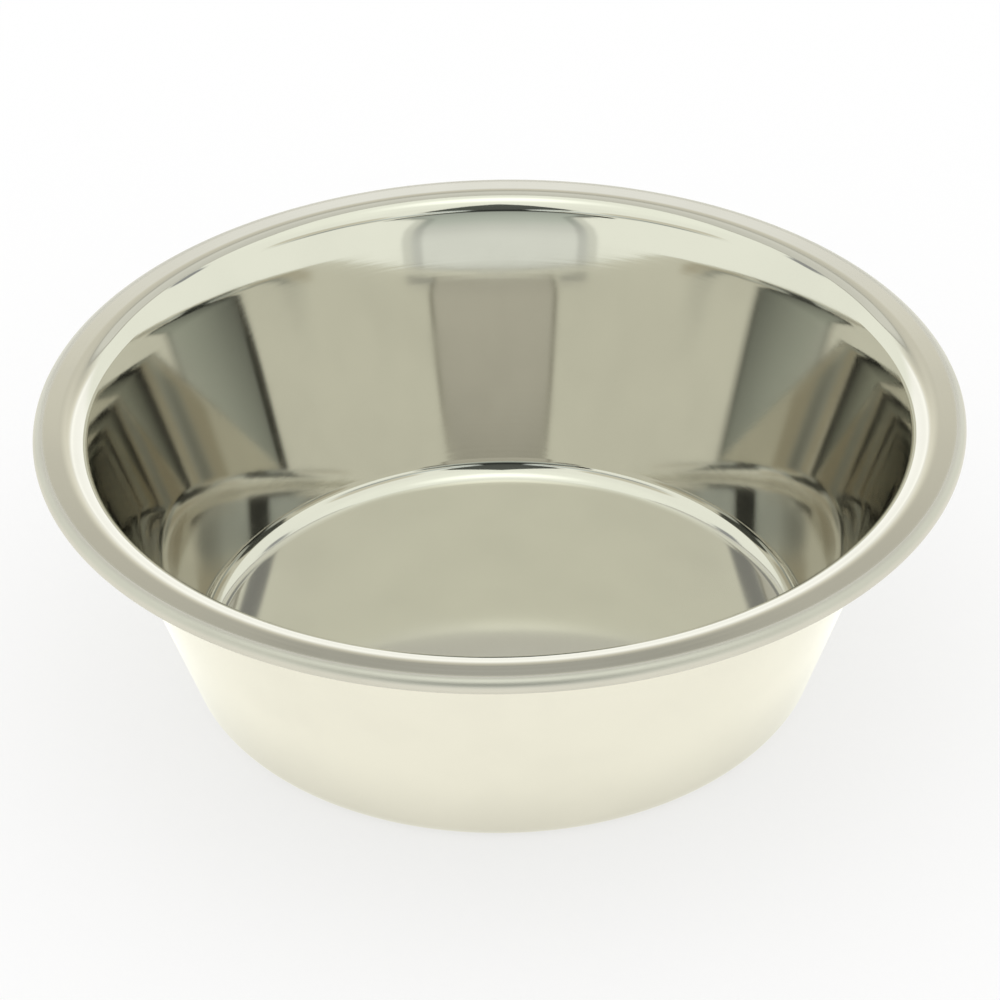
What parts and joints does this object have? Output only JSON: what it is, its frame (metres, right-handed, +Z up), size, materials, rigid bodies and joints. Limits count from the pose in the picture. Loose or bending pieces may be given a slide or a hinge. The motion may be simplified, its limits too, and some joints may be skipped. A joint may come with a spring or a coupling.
{
  "type": "feeding bowl",
  "caption": "Round polished steel feeding bowl with a flat floor, a straight flared wall, a rounded lip and a rolled rim edge.",
  "frame": {"origin": "centre of the flat underside, on the surface that the bowl stands on", "axes": "+Z up along the bowl's axis, out of its mouth; the bowl is round, so +X and +Y are free, and the picture looks along +Y"},
  "size_m": [0.21, 0.21, 0.068],
  "materials": {
    "polished_steel": "mirror-polished bare stainless steel, slightly warm"
  },
  "bodies": {
    "root": {"bowl": "polished_steel"}
  },
  "joints": []
}
